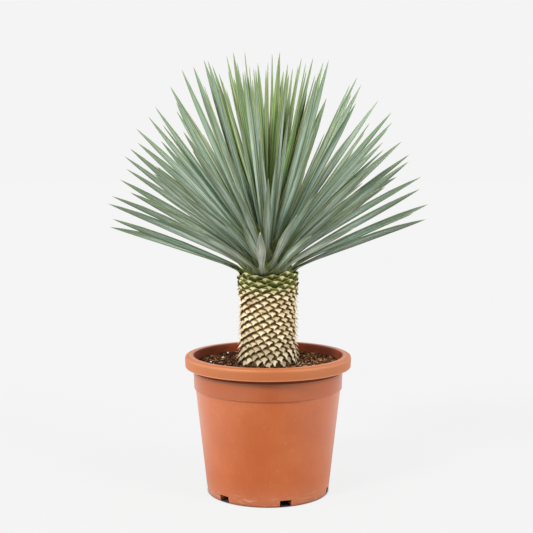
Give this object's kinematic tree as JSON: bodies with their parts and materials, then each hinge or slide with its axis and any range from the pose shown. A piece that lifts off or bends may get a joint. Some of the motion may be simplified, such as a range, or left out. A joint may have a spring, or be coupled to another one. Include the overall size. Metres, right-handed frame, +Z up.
{
  "type": "potted yucca",
  "caption": "Yucca with one scaly trunk and a round head of stiff blade leaves, planted in a terracotta-coloured plastic nursery pot.",
  "frame": {"origin": "on the floor, under the middle of the pot", "axes": "+Z up the trunk; -Y towards the side shown in the picture, +X to its right"},
  "size_m": [0.6738, 0.654, 0.9415],
  "materials": {
    "pot": "matte, terracotta orange, faintly mottled",
    "soil": null,
    "trunk": "dry, cream-coloured leaf bases over dark brown fibre",
    "leaf_head": null,
    "young_leaves": null
  },
  "bodies": {
    "root": {"pot": "pot", "soil": "soil", "trunk": "trunk", "leaf_head": "leaf_head", "young_leaves": "young_leaves"}
  },
  "joints": []
}
